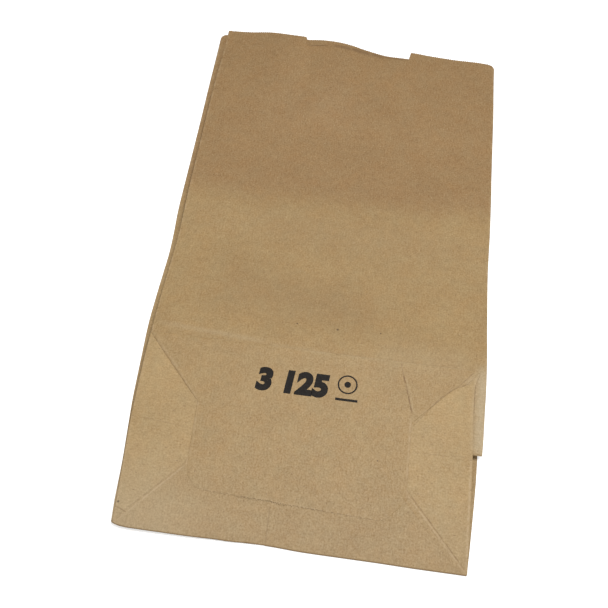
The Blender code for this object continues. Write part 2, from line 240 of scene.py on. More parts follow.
def place_of(level, x, y):
    """Plan place of a ply's point once the panels have slipped, left and right edges blended."""
    def slid(edges):
        across = x / WIDTH
        return track(edges, stage(y), 1) * (1 - across) + track(edges, stage(y), 2) * across

    share = np.clip(np.minimum(x, WIDTH - x) / GUSSET, 0.0, 1.0)
    if level == REAR:
        slide = slid(REAR_EDGES)
    elif level == FRONT:
        slide = slid(FRONT_EDGES)
    elif level > FRONT:
        slide = slid(BOTTOM_EDGES)
    elif level == REAR_GUSSET:
        slide = slid(REAR_EDGES) * (1 - share / 2) + slid(FRONT_EDGES) * share / 2
    else:
        slide = slid(FRONT_EDGES) * (1 - share / 2) + slid(REAR_EDGES) * share / 2
    slip = RIDGE_SLIP * (1 - x / WIDTH) * fade(np.abs(y - BOTTOM) / BOTTOM)
    across = np.clip(x / WIDTH, 0.0, 1.0)
    if level >= TURN:
        slide = slide + DOG_EAR * across ** 10 * bell(y - BOTTOM, EAR_REACH)
    if level in (FRONT, FRONT_GUSSET):
        slip = slip + track(MOUTH, x, 3) * fade((HEIGHT - y) / BOW_REACH)
        slip = slip + FOLD_SAG * across ** 6 * bell(y - FRONT_FOLD, SAG_REACH)
    waver = track(WAVER, x / WIDTH) * fade(y / WAVER_REACH)
    return x + slide, y - slip + waver


ridge = np.array([10.0, 76.0, 142.0])
print("front panel at the ridge, mm up:", np.round(height_of(FRONT, ridge, np.full(3, BOTTOM)), 2))

# %% [markdown]
# ## Laying out the sheet
# A ply is a grid: a function gives plan places for rows and columns, `settled` gives their place in
# space, and `lay` adds them to the one growing sheet. Each point also remembers where it was on the
# flat sheet, so that fibres run on round the creases, and how near it is to a crease or an edge,
# where the paper is rubbed and a highlight is painted; at the bottom fold shade is painted instead.
# A saw cuts the sheet at the mill, so free edges get a row of fine teeth.

# %% The growing sheet
points, unrolled, wear_and_painted_light, insides, faces = [], [], [], [], []


def lay(xyz, flat, wear_light, inside=0.0):
    """Adds rows x columns of points to the sheet; returns their numbers in the same layout.
    The number laid per point is 1 where the paper is worn and a highlight is painted, below 0 where shade is painted;
    inside is 1 on the inner face."""
    start = sum(len(block) for block in points)
    points.append(xyz.reshape(-1, 3))
    unrolled.append(flat.reshape(-1, 2))
    wear_and_painted_light.append(wear_light.reshape(-1))
    insides.append(np.full(wear_light.size, inside))
    return start + np.arange(xyz[..., 0].size).reshape(xyz.shape[:-1])


def known(numbers, store):
    """Values already laid for these point numbers."""
    return np.concatenate(store)[numbers]


def quads(numbers):
    """Four-cornered faces between the neighbours of a grid of point numbers."""
    a, b = numbers[:-1, :-1], numbers[:-1, 1:]
    c, d = numbers[1:, 1:], numbers[1:, :-1]
    faces.extend(np.stack([a, b, c, d], -1).reshape(-1, 4).tolist())


def stops(places, step):
    """Stations from the first place to the last: each gap in equal parts no longer than step."""
    parts = [np.linspace(a, b, max(int(np.ceil((b - a) / step)), 1), endpoint=False)
             for a, b in zip(places, places[1:])]
    return np.concatenate(parts + [[places[-1]]])


def settled(level, plan, rise=0.0):
    """Place in space of plan points of one ply, rise above its usual height."""
    x, y = plan[..., 0], plan[..., 1]
    across, along = place_of(level, x, y)
    return np.stack([across, along, height_of(level, x, y) + rise], -1)


def near_rim(shape, reach, rows, columns, sides):
    """1 on the named sides of a grid, down to 0 at reach: rows and columns hold distances in mm."""
    wear_light = np.zeros(shape)
    gaps = {"low": rows[:, None] - rows[0], "high": rows[-1] - rows[:, None],
            "left": columns[None, :] - columns[0], "right": columns[-1] - columns[None, :]}
    for side in sides:
        wear_light = np.maximum(wear_light, fade(gaps[side] / reach))
    return wear_light


# %% Toothed free edges
TOOTH = 0.32
saw = np.random.default_rng(11)


def toothed(numbers, out, per_cell=1, cut=None, ragged=0.0, tooth=TOOTH):
    """Last row of cells with saw teeth: each cell is a many-sided face whose free side zigzags.
    Tooth point j of 2n - 1 lies at j / 2n of the side, and every odd one is moved outwards."""
    quads(numbers[:-1])
    inner, rim = numbers[-2], numbers[-1]
    xyz, flat = known(rim, points), known(rim, unrolled)
    cut = np.ones(len(rim) - 1, bool) if cut is None else cut
    extra = []
    for j in range(1, 2 * per_cell):
        t = j / (2 * per_cell)
        depth = tooth * (j % 2) * (1.0 + ragged * saw.uniform(-1.0, 1.0, len(rim) - 1)) * cut
        tip = xyz[:-1] * (1 - t) + xyz[1:] * t + depth[:, None] * np.array(out)
        extra.append(lay(tip, flat[:-1] * (1 - t) + flat[1:] * t, np.zeros(len(tip))))
    loops = [inner[:-1], inner[1:], rim[1:], *extra[::-1], rim[:-1]]
    faces.extend(np.stack(loops, -1).tolist())


# %% [markdown]
# ## Creases
# A crease is the paper going round from one ply to the next. Between two edges it is a half circle:
# the middle of the two points, plus half their distance times the cosine, plus the bulge times the
# sine. The two plies may have different numbers of points, so the last row is stitched: each short
# side is joined to the point on the other edge that is nearest along the crease.

# %% Crease and stitch


def along_line(xyz):
    """Share of the way along a line of points, 0 to 1, by arc length."""
    steps = np.linalg.norm(np.diff(xyz, axis=0), axis=1)
    run = np.concatenate([[0.0], np.cumsum(steps)])
    return run / run[-1]


def stitch(a, share_a, b, share_b):
    """Triangles between two lines of points: a side's far corner is the count of the other line's
    side middles that come before its own middle."""
    middle_a = (share_a[:-1] + share_a[1:]) / 2
    middle_b = (share_b[:-1] + share_b[1:]) / 2
    far = b[np.searchsorted(middle_b, middle_a)]
    faces.extend(np.stack([a[:-1], a[1:], far], -1).tolist())
    far = a[np.searchsorted(middle_a, middle_b, side="right")]
    faces.extend(np.stack([b[1:], b[:-1], far], -1).tolist())


def crease(a, b, out, turns=5, wear_light=1.0):
    """Half round from edge a to edge b, bulging along the vector out; a wear number below 0 paints shade on the round
    instead of wear.
    """
    edge_a, edge_b = known(a, points), known(b, points)
    share_a, share_b = along_line(edge_a), along_line(edge_b)
    matched = np.stack([np.interp(share_a, share_b, edge_b[:, k]) for k in range(3)], -1)
    flat_a, flat_b = known(a, unrolled), known(b, unrolled)
    matched_flat = np.stack([np.interp(share_a, share_b, flat_b[:, k]) for k in range(2)], -1)
    half = (edge_a - matched) / 2
    bulge = np.linalg.norm(half[:, 2:], axis=1)[:, None] * np.array(out, float)
    angle = (np.pi * np.arange(1, turns) / turns)[:, None, None]
    arc = (edge_a + matched) / 2 + half * np.cos(angle) + bulge * np.sin(angle)
    t = (1 - np.cos(angle)) / 2
    rows = lay(arc, flat_a * (1 - t) + matched_flat * t, np.full(arc.shape[:2], wear_light))
    quads(np.vstack([a[None], rows]))
    stitch(rows[-1], share_a, b, share_b)


# %% [markdown]
# ## Rear and front panels
# The rear panel is the one with the glued seam: the sheet's two long edges lap there by 12 mm, so
# it is laid as two strips, the left one a paper's thickness higher where it runs under the lap.
# The front panel has the thumb notch, so its columns get stations at both walls of the notch, and
# the top of each column is the height of the cut edge there.

# %% Edges at the mouth
TIGHT = PITCH / 2                # radius of a crease between neighbouring plies
RIM = (0.0, 0.4, 1.0, 2.0)       # finer stations next to a crease


def mouth_edge(x, height, left=True):
    """Height of a cut edge with round corners: h - r + sqrt(r^2 - d^2), d into the corner."""
    side = np.minimum(x, WIDTH - x) if left else WIDTH - x
    into = np.clip(CORNER - side, 0.0, CORNER)
    return height - CORNER + np.sqrt(CORNER ** 2 - into ** 2)


def notch(x):
    """Depth of the thumb notch: a flat floor between two leaning walls."""
    return np.interp(x, [NOTCH_LEFT - NOTCH_FLARE, NOTCH_LEFT, NOTCH_RIGHT, NOTCH_RIGHT + NOTCH_FLARE],
                     [0.0, NOTCH_DEPTH, NOTCH_DEPTH, 0.0])


def tall_plan(columns, low, high, shares):
    """Plan grid over x columns: y = low + share (high - low), where low and high may vary with x."""
    low = low + 0.0 * columns
    y = low[None, :] + shares[:, None] * (high - low)[None, :]
    return np.stack([columns[None, :] + 0.0 * y, y], -1)


def graded(length, step):
    """Shares 0 to 1 of a length, finer next to both ends."""
    ends = list(RIM)
    return stops(ends + [length - e for e in ends[::-1]], step) / length


def lap_step(x):
    """Extra height of the left strip at the seam: 0 before the slope, the whole step after it."""
    low, high = SEAM_SLOPE
    return SEAM_STEP * (1 - fade((x - low) / (high - low)))


# %% Rear panel in two lapped strips
bottom_round = (3 * PITCH + LOWER_FLAP_RISE) / 2
tube_rows = graded(HEIGHT, 4.0)
left_rear = stops([TIGHT, 1.0, 3.5, 20.0, GUSSET, SEAM_SLOPE[0], SEAM_OPEN, SEAM_END], 4.0)
right_rear = stops([SEAM_OPEN, SEAM_END, WIDTH - GUSSET, WIDTH - 3.5, WIDTH - 1.0, WIDTH - TIGHT], 4.0)
left_plan = tall_plan(left_rear, bottom_round, mouth_edge(left_rear, HEIGHT), tube_rows)
right_plan = tall_plan(right_rear, bottom_round, mouth_edge(right_rear, HEIGHT), tube_rows)
lapped = lap_step(left_plan[..., 0])
length = tube_rows * HEIGHT
rear_left = lay(settled(REAR, left_plan, lapped), left_plan * [-1, 1] + [-2 * BOTTOM, 0],
                near_rim(lapped.shape, 1.2, length, left_rear, ["left", "low"]))
rear_right = lay(settled(REAR, right_plan), right_plan * [-1, 1] + [2 * WIDTH + 2 * BOTTOM, 0],
                 near_rim(right_plan.shape[:2], 1.2, length, right_rear, ["right", "low"]))
toothed(rear_left, (0, 1, 0), 3)
toothed(rear_right, (0, 1, 0), 3)

# %% Front panel with the thumb notch
FRONT_START = 0.8                # room for the round of the front fold
front_columns = stops([TIGHT, 0.4, 1.0, 2.0, 3.5, NOTCH_LEFT - NOTCH_FLARE, NOTCH_LEFT, NOTCH_RIGHT,
                       NOTCH_RIGHT + NOTCH_FLARE, WIDTH - 3.5, WIDTH - 2.0, WIDTH - 1.0, WIDTH - 0.4,
                       WIDTH - TIGHT], 1.25)
front_low = FRONT_FOLD + FRONT_START + TIGHT
front_length = HEIGHT + OVERHANG - front_low
front_rows = graded(front_length, 1.6)
front_top = mouth_edge(front_columns, HEIGHT + OVERHANG, left=False) - notch(front_columns)
front_plan = tall_plan(front_columns, front_low, front_top, front_rows)
front = lay(settled(FRONT, front_plan), front_plan,
            near_rim(front_plan.shape[:2], 1.2, front_rows * front_length, front_columns, ["left", "right"]))
between = (front_columns[:-1] + front_columns[1:]) / 2
on_wall = (notch(between) > 0.01) & (notch(between) < NOTCH_DEPTH - 0.01)
toothed(front, (0, 1, 0), 1, cut=~on_wall & (np.diff(front_columns) > 0.9))
print("front panel", front.shape, "points")

# %% [markdown]
# ## Gussets and the triangles of the bottom
# Each side of the tube is folded inwards like a W, so two narrow plies lie between front and rear.
# At the bottom end the same paper goes round two diagonal creases and becomes the side triangles
# that carry the bottom. Left and right are the same function, mirrored.

# %% Sides of the bag
BASE_GAP = 0.3                   # room for the rounds beside the base ply
BASE_PATCH = 300.0               # where the base ply's own fibres start on the flat sheet, mm
GUSSET_GAP, FOLD_GAP, DIAGONAL_GAP = 0.7, 0.45, 0.35    # and at the lower ends of the side plies
gusset_columns = np.array([TIGHT, 0.6, 1.5, 6.0, 14.0, 24.0, 34.0, 42.0, 45.0, GUSSET - TIGHT])
ridge_round = (3 * PITCH + UPPER_FLAP_RISE) / 2
turn_top = BOTTOM - ridge_round
base_low, base_high = bottom_round + BASE_GAP, BOTTOM - ridge_round - BASE_GAP
turn_rows = stops([front_low, front_low + 1.0, turn_top - 1.0, turn_top], 2.5)
base_rows = stops([base_low, 1.6, 3.0, FRONT_FOLD, 89.0, 90.0, base_high], 1.4)
turn_columns = stops([TIGHT, 1.0, WIDTH - 1.0, WIDTH - TIGHT], 4.0)
near_side = stops([TIGHT, 0.5, 1.0, 2.0, 34.0], 1.3)
base_columns = np.concatenate([near_side, stops([38.0, WIDTH - 38.0], 9.0), WIDTH - near_side[::-1]])


def diagonal(y):
    """Half width of the side triangles: rises to the gusset's depth at the front fold, then falls."""
    return GUSSET * np.minimum(y / FRONT_FOLD, (BOTTOM - y) / (BOTTOM - FRONT_FOLD))


def side_of_bag(mirror, rear_edge, front_edge, turn_edge, base_edge):
    """Gusset plies and bottom triangles of one side, creased to the panels' edges."""
    x = gusset_columns

    def out(x, y):
        return (-x if mirror else x, y, 0.0)

    def put(level, plan, turned, wear_light):
        """Lays one ply of this side; on the flat sheet a turned one runs back to the next panel."""
        inward, y = plan[..., 0], plan[..., 1]
        away = 2 * GUSSET - inward if turned else inward
        here = np.stack([WIDTH - inward, y], -1) if mirror else plan
        return lay(settled(level, here), np.stack([WIDTH + away if mirror else -away, y], -1), wear_light)

    def gusset(level, low, past, turned):
        """Narrow ply between the panels, from its lower edge to the mouth and past it."""
        plan = tall_plan(x, low, mouth_edge(x, HEIGHT) + past, tube_rows)
        return put(level, plan, turned, near_rim(plan.shape[:2], 1.5, length, x, ["left", "right"]))

    def triangle(level, y, turned):
        """Ply of the side triangle, as wide as the diagonal creases leave it."""
        width = np.maximum(diagonal(y) - DIAGONAL_GAP, TIGHT + 0.1)
        across = TIGHT + np.linspace(0.0, 1.0, 8)[None, :] * (width - TIGHT)[:, None]
        plan = np.stack([across, y[:, None] + 0.0 * across], -1)
        ply = put(level, plan, turned, np.zeros(across.shape))
        quads(ply)
        return ply

    rear_ply = gusset(REAR_GUSSET, x * FRONT_FOLD / GUSSET + GUSSET_GAP, 0.5 * OVERHANG * x / GUSSET, True)
    front_ply = gusset(FRONT_GUSSET, FRONT_FOLD + FOLD_GAP, OVERHANG * (1 - 0.5 * x / GUSSET), False)
    for ply in (rear_ply, front_ply):
        toothed(ply, (0, 1, 0), 3)
    turn_ply = triangle(TURN_SIDE, turn_rows, False)
    side_y = stops([base_low, FRONT_FOLD, base_high], 3.0)
    apex = int(np.argmin(np.abs(side_y - FRONT_FOLD)))
    side_ply = triangle(SIDE, side_y, True)

    crease(rear_edge, rear_ply[:, 0], out(-1, 0))
    crease(front_edge, front_ply[:, 0], out(-1, 0))
    crease(rear_ply[:, -1], front_ply[:, -1], out(1, 0))
    crease(turn_edge, turn_ply[:, 0], out(-1, 0))
    crease(base_edge, side_ply[:, 0], out(-1, 0))
    crease(front_ply[0], turn_ply[0], out(0, -1))
    low_slant = Vector((FRONT_FOLD, -GUSSET)).normalized()
    high_slant = Vector((BOTTOM - FRONT_FOLD, GUSSET)).normalized()
    crease(rear_ply[0], side_ply[:apex + 1, -1], out(low_slant.x, low_slant.y))
    crease(turn_ply[:, -1], side_ply[apex:, -1], out(high_slant.x, high_slant.y))


turn_plan = tall_plan(turn_columns, front_low, turn_top, (turn_rows - front_low) / (turn_top - front_low))
turn = lay(settled(TURN, turn_plan), turn_plan * [1, -1] + [0, 2 * FRONT_FOLD],
           near_rim(turn_plan.shape[:2], 1.2, turn_rows, turn_columns, ["left", "right"]))
quads(turn)
base_plan = tall_plan(base_columns, base_low, base_high, (base_rows - base_low) / (base_high - base_low))
inward = np.minimum(base_plan[..., 0], WIDTH - base_plan[..., 0])
base = lay(settled(BASE, base_plan), np.stack([base_plan[..., 1] + BASE_PATCH, -inward], -1),
           near_rim(base_plan.shape[:2], 1.2, base_rows, base_columns, ["left", "right"]), inside=1.0)
quads(base)
side_of_bag(False, rear_left[:, 0], front[:, 0], turn[:, 0], base[:, 0])
side_of_bag(True, rear_right[:, -1], front[:, -1], turn[:, -1], base[:, -1])
crease(front[0], turn[0], (0, -1, 0))

# %% [markdown]
# ## The two glued flaps of the bottom
# The lower flap is the rear panel's paper turned up over the bottom fold, and the upper flap is the
# front panel's, turned down over the ridge and glued on top. Both are trapezoids with straight
# sides that are creases, and the saw-cut end shows as the ragged line across the bottom. A Coons
# patch fills such an outline: blend the two side curves, blend the two end curves, add both, and
# take away the blend of the four corners that was counted twice.

# %% Coons patch and hems


def curve(corners, fractions):
    """Points at the given fractions of a polyline whose corners sit at named fractions."""
    rows = np.array(corners, float)
    return np.stack([np.interp(fractions, rows[:, 0], rows[:, k]) for k in (1, 2)], -1)


def coons(low, high, left, right):
    """Grid inside four curves: low and high run across, left and right run from low to high."""
    u = np.linspace(0.0, 1.0, len(low))[None, :, None]
    v = np.linspace(0.0, 1.0, len(left))[:, None, None]
    across = (1 - v) * low[None] + v * high[None]
    along = (1 - u) * left[:, None] + u * right[:, None]
    corners = ((1 - u) * (1 - v) * low[0] + u * (1 - v) * low[-1]
               + (1 - u) * v * high[0] + u * v * high[-1])
    return across + along - corners


def hem(edge, inward, drop, width):
    """Paper turned under at a flap's side: a half round, then a narrow band that runs back in."""
    xyz, flat = known(edge, points), known(edge, unrolled)
    inward = np.array(inward, float) + 0.0 * xyz
    taper = width * np.clip(8.0 * np.minimum(along_line(xyz), 1 - along_line(xyz)), 0.02, 1.0)
    reach = np.array([[0.0], [0.35], [1.0]]) * taper[None]
    band = xyz[None] + reach[..., None] * inward - np.array([0.0, 0.0, drop])
    rows = lay(band, np.repeat(flat[None], 3, 0), np.zeros(band.shape[:2]))
    quads(rows)
    crease(edge, rows[0], -inward, 4)


# %% Lower flap, in two lapped strips like the rear panel
LOWER_TOP = 52.0                 # the flap's hidden end
LOWER_CORNERS = ((28.0, 31.5), (29.6, 32.7))     # where its slanted sides turn up: in from the side, up
FLAP_END = 0.25                  # a flap's crease ends this far from the side of the bag
flap_rows = np.concatenate([RIM, stops([3.2, 22.0], 1.3), stops([25.0, LOWER_TOP - bottom_round], 4.5)])


def lower_flap(columns, corner, mirror, rise):
    """Strip of the lower flap between one slanted side and the straight edge of the seam's lap."""
    y = bottom_round + flap_rows
    slanted = np.interp(y, [bottom_round, corner[1], LOWER_TOP], [FLAP_END, corner[0], corner[0] + 0.2])
    share = (columns - columns[0]) / (columns[-1] - columns[0])
    if mirror:
        x = columns[0] + share[None, :] * ((WIDTH - slanted) - columns[0])[:, None]
    else:
        x = slanted[:, None] + share[None, :] * (columns[-1] - slanted)[:, None]
    plan = np.stack([x, y[:, None] + 0.0 * x], -1)
    flat = np.stack([-plan[..., 0], -plan[..., 1]], -1) - [2 * BOTTOM, 0]
    wear_light = near_rim(plan.shape[:2], 1.2, flap_rows, columns, ["right" if mirror else "left"])
    numbers = lay(settled(BASE, plan, LOWER_FLAP_RISE + rise(plan[..., 0])), flat, wear_light)
    quads(numbers)
    return numbers


lower_left_columns = np.concatenate([[TIGHT, 0.5, 1.0, 2.0], stops([3.5, SEAM_END], 1.8)])
lower_right_columns = np.concatenate([stops([SEAM_OPEN, WIDTH - 3.5], 1.8), WIDTH - np.array([2.0, 1.0, 0.5, TIGHT])])
lower_left = lower_flap(lower_left_columns, LOWER_CORNERS[0], False, lambda x: -lap_step(x))
lower_right = lower_flap(lower_right_columns, LOWER_CORNERS[1], True, lambda x: 0.0)
# The bottom fold's rounds are given -1: painted shade along the fold
crease(rear_left[0], lower_left[0], (0, -1, 0), 7, -1.0)
crease(rear_right[0], lower_right[0], (0, -1, 0), 7, -1.0)
hem(lower_left[:, 0], (0.75, -0.66, 0.0), HEM_DROP, 3.0)
hem(lower_right[:, -1], (-0.75, -0.66, 0.0), HEM_DROP, 3.0)

# %% Upper flap with its ragged cut
GAPE = 0.16                      # the cut stands off a little in its middle
FLAP_LEFT = ((0.0, FLAP_END, turn_top), (0.42, 28.0, 60.5), (0.80, 28.0, 31.0), (0.88, 28.7, 25.3),
             (1.0, 32.5, 20.9))
FLAP_RIGHT = ((0.0, WIDTH - FLAP_END, turn_top), (0.10, 148.6, 84.6), (0.16, 142.6, 81.6), (0.38, 124.5, 63.0),
              (0.74, 124.2, 35.0), (0.88, 122.5, 25.3), (1.0, 117.5, 19.9))
FLAP_CUT = ((0.0, 32.5, 20.9), (0.06, 37.0, 20.0), (0.30, 57.0, 19.5), (0.62, 84.0, 18.4), (0.90, 108.0, 17.6),
            (0.95, 112.6, 17.4), (1.0, 117.5, 19.9))
flap_v = np.linspace(0.0, 1.0, 64)
flap_u = np.linspace(0.0, 1.0, 78)


def flap_rise(plan):
    """Upper flap above the base ply: two plies up over the lower flap, one elsewhere."""
    x, y = plan[..., 0], plan[..., 1]
    over = fade((y - 54.0) / 6.0) * fade(28.6 - x) * fade(x - 122.6)
    return LOWER_FLAP_RISE + (UPPER_FLAP_RISE - LOWER_FLAP_RISE) * over


ridge_line = curve(((0.0, FLAP_END, turn_top), (1.0, WIDTH - FLAP_END, turn_top)), flap_u)
upper_plan = coons(ridge_line, curve(FLAP_CUT, flap_u), curve(FLAP_LEFT, flap_v), curve(FLAP_RIGHT, flap_v))
upper_wear_light = np.zeros(upper_plan.shape[:2])
upper_wear_light[:, [0, -1]] = 1.0
upper_wear_light[-1] = 0.8
gape = GAPE * bell(upper_plan[..., 0] - 62.0, 13.0) * fade((upper_plan[..., 1] - 18.0) / 10.0)
upper_flat = np.stack([upper_plan[..., 0], upper_plan[..., 1] - 2 * (BOTTOM - FRONT_FOLD)], -1)
upper = lay(settled(BASE, upper_plan, flap_rise(upper_plan) + gape), upper_flat, upper_wear_light)
toothed(upper, (0, -1, 0), 1, ragged=0.9, tooth=0.55)
crease(upper[0], turn[-1], (0, 1, 0), 7)
hem(upper[:, 0], (1.0, 0.0, 0.0), HEM_DROP, 0.8)
hem(upper[:, -1], (-1.0, 0.0, 0.0), HEM_DROP, 0.8)
print("sheet so far:", sum(len(block) for block in points), "points,", len(faces), "faces")

# %% [markdown]
# ## From a sheet to a solid
# The welded sheet has no thickness yet. Solidify gives it one, with a closed rim at every cut edge,
# and marking the sharp angles keeps those rims crisp while the creases stay soft.

# %% Sheet to solid
SHARP = 42.0                     # degrees between faces that make a crisp edge


def moved(xyz):
    """Bag millimetres to the frame's metres."""
    return (xyz - np.array([MIDDLE[0], MIDDLE[1], 0.0])) * MM


mesh = bpy.data.meshes.new("kraft_sheet")
mesh.from_pydata(moved(np.concatenate(points)), [], faces)
flat = np.concatenate(unrolled) * MM
for name, kind, field, values in (
        ("unrolled", "FLOAT_VECTOR", "vector", np.column_stack([flat, np.zeros(len(flat))])),
        ("wear_and_painted_light", "FLOAT", "value", np.concatenate(wear_and_painted_light)),
        ("inner_face", "FLOAT", "value", np.concatenate(insides))):
    mesh.attributes.new(name, kind, "POINT").data.foreach_set(field, values.ravel())
sheet = bmesh.new()
sheet.from_mesh(mesh)
bmesh.ops.recalc_face_normals(sheet, faces=sheet.faces)
sheet.to_mesh(mesh)
sheet.free()
bag = placed("kraft_sheet", mesh)
solidify = bag.modifiers.new("thickness", "SOLIDIFY")
solidify.thickness = PAPER * MM
solidify.offset = 0.0
depsgraph = bpy.context.evaluated_depsgraph_get()
solid = bpy.data.meshes.new_from_object(bag.evaluated_get(depsgraph))
bag.modifiers.clear()
bag.data = solid
bpy.data.meshes.remove(mesh)
solid.name = "kraft_sheet"
solid.polygons.foreach_set("use_smooth", np.ones(len(solid.polygons), bool))
solid.set_sharp_from_angle(angle=np.radians(SHARP))
solid.calc_loop_triangles()
lowest = min(v.co.z for v in solid.vertices)
print("kraft sheet:", len(solid.loop_triangles), "triangles, lowest point", round(1000 * lowest, 3), "mm")

# %% [markdown]
# ## Kraft paper
# Unbleached kraft is dull and warm: long pulp fibres that lie mostly along the sheet, soft clouds
# where the pulp was thicker, darker splinters of bark and paler ones of wood. Each of these is a
# pattern of nodes that reads the place on the flat sheet, so it runs on round every crease. Small
# node groups do one thing each and put out plain values, and the shader itself stays in the material.

# %% Node helpers


def feed(tree, socket, value):
    """Links a socket to an input, or sets the input to a plain value; None leaves it as it is."""
    if isinstance(value, bpy.types.NodeSocket):
        tree.links.new(value, socket)
    elif value is not None:
        socket.default_value = value


def add_node(tree, kind, **values):
    """A node with the given settings; a name that is no setting is that of an input."""
    made = tree.nodes.new(kind)
    for name, value in values.items():
        if hasattr(made, name):
            setattr(made, name, value)
        else:
            feed(tree, made.inputs[name], value)
    return made


def arithmetic(tree, operation, a, b=None, c=None, clamp=False):
    """Math node: a, b and c are sockets or plain numbers."""
    made = add_node(tree, "ShaderNodeMath", operation=operation, use_clamp=clamp)
    for socket, value in zip(made.inputs, (a, b, c)):
        feed(tree, socket, value)
    return made.outputs[0]


def vector_step(tree, operation, a, b=None, scale=None):
    """Vector Math node: a and b are sockets or triples. Its fourth input is the scale."""
    made = add_node(tree, "ShaderNodeVectorMath", operation=operation)
    for socket, value in zip(made.inputs, (a, b, None, scale)):
        feed(tree, socket, value)
    return made.outputs["Value" if operation in ("LENGTH", "DOT_PRODUCT") else "Vector"]


def smooth_range(tree, value, low, high):
    """Smooth step of a value: 0 at low, 1 at high."""
    made = add_node(tree, "ShaderNodeMapRange", interpolation_type="SMOOTHSTEP", Value=value)
    feed(tree, made.inputs["From Min"], low)
    feed(tree, made.inputs["From Max"], high)
    return made.outputs["Result"]


def smooth_fall(tree, value, low, high):
    """The same turned over: 1 at low, 0 at high."""
    return arithmetic(tree, "SUBTRACT", 1.0, smooth_range(tree, value, low, high))


def noise(tree, vector, scale, detail=2.0, roughness=0.5, stretch=None):
    """Noise about 0, from -0.5 to 0.5, on a vector that may be stretched first."""
    if stretch is not None:
        vector = vector_step(tree, "MULTIPLY", vector, stretch)
    made = add_node(tree, "ShaderNodeTexNoise", Vector=vector, Scale=scale, Detail=detail, Roughness=roughness)
    return arithmetic(tree, "SUBTRACT", made.outputs["Fac"], 0.5)


def mix(tree, factor, a, b):
    """Mix node: colour a at factor 0, colour b at 1. A colour is a socket or a triple."""
    made = add_node(tree, "ShaderNodeMix", data_type="RGBA")
    for place, value in ((0, factor), (6, a), (7, b)):
        feed(tree, made.inputs[place], (*value, 1.0) if isinstance(value, tuple) else value)
    return made.outputs[2]


def new_group(name, vectors, numbers, outputs):
    """Empty node group with named vectors and numbers going in and numbers coming out; returns the
    tree, its inputs and the inputs of its output node."""
    tree = bpy.data.node_groups.new(name, "ShaderNodeTree")
    for names, way, kind in ((vectors, "INPUT", "NodeSocketVector"), (numbers, "INPUT", "NodeSocketFloat"),
                             (outputs, "OUTPUT", "NodeSocketFloat")):
        for socket in names:
            tree.interface.new_socket(socket, in_out=way, socket_type=kind)
    return tree, tree.nodes.new("NodeGroupInput").outputs, tree.nodes.new("NodeGroupOutput").inputs


def new_material(name):
    """A material, its node tree and its Principled shader."""
    made = bpy.data.materials.new(name)
    made.use_nodes = True
    return made, made.node_tree, made.node_tree.nodes["Principled BSDF"]


# %% Group: pulp
pulp, given, result = new_group("pulp", ["Sheet"], [], ["Shade", "Grain", "Warmth", "Height"])
sheet_mm = vector_step(pulp, "SCALE", given["Sheet"], scale=1 / MM)
cloud = noise(pulp, sheet_mm, 0.055, 3.0)
mottle = noise(pulp, sheet_mm, 0.30, 3.0, 0.6)
grain = noise(pulp, sheet_mm, 1.25, 2.0, 0.7)
fibre = noise(pulp, sheet_mm, 1.0, 2.0, 0.6, stretch=(1.4, 0.35, 1.0))
shade = arithmetic(pulp, "MULTIPLY", cloud, 0.22)
feed(pulp, result["Shade"], arithmetic(pulp, "MULTIPLY_ADD", mottle, 0.32, shade))
feed(pulp, result["Grain"], arithmetic(pulp, "MULTIPLY_ADD", fibre, 0.45, grain))
feed(pulp, result["Warmth"], noise(pulp, sheet_mm, 0.11, 2.0))
feed(pulp, result["Height"], arithmetic(pulp, "MULTIPLY_ADD", fibre, 0.7, grain))

# %% Group: splinters
# Cells of the given spacing hold one splinter each; a cell's random colour says whether it shows
splinters, given, result = new_group("splinters", ["Sheet"], ["Spacing", "Size", "Share"], ["Mask"])
cells = vector_step(splinters, "SCALE", given["Sheet"],
                    scale=arithmetic(splinters, "DIVIDE", 1 / MM, given["Spacing"]))
voronoi = add_node(splinters, "ShaderNodeTexVoronoi", voronoi_dimensions="2D", Scale=1.0,
                   Vector=vector_step(splinters, "MULTIPLY", cells, (1.6, 0.75, 1.0)))
split = add_node(splinters, "ShaderNodeSeparateColor", Color=voronoi.outputs["Color"])
chosen = arithmetic(splinters, "LESS_THAN", split.outputs["Red"], given["Share"])
radius = arithmetic(splinters, "DIVIDE", given["Size"], given["Spacing"])
spread = arithmetic(splinters, "MULTIPLY_ADD", split.outputs["Green"], 0.8, 0.5)
radius = arithmetic(splinters, "MULTIPLY", radius, spread)
core = arithmetic(splinters, "MULTIPLY", radius, 0.35)
mask = smooth_fall(splinters, voronoi.outputs["Distance"], core, radius)
feed(splinters, result["Mask"], arithmetic(splinters, "MULTIPLY", mask, chosen))

# %% Group: pressed line
# Distance to a stretch of line: p - a less its part along b - a, held between the two ends
line, given, result = new_group("pressed_line", ["Place", "From", "To"], ["Width"], ["Mask"])
to_point = vector_step(line, "SUBTRACT", given["Place"], given["From"])
run = vector_step(line, "SUBTRACT", given["To"], given["From"])
share = arithmetic(line, "DIVIDE", vector_step(line, "DOT_PRODUCT", to_point, run),
                   vector_step(line, "DOT_PRODUCT", run, run), clamp=True)
beside = vector_step(line, "SUBTRACT", to_point, vector_step(line, "SCALE", run, scale=share))
off = vector_step(line, "LENGTH", beside)
taper = arithmetic(line, "MULTIPLY", share, arithmetic(line, "SUBTRACT", 1.0, share))
taper = arithmetic(line, "MULTIPLY", taper, 4.0)
near = smooth_fall(line, off, 0.0, given["Width"])
feed(line, result["Mask"], arithmetic(line, "MULTIPLY", near, smooth_range(line, taper, -0.2, 0.6)))
print("node groups:", [group.name for group in bpy.data.node_groups])

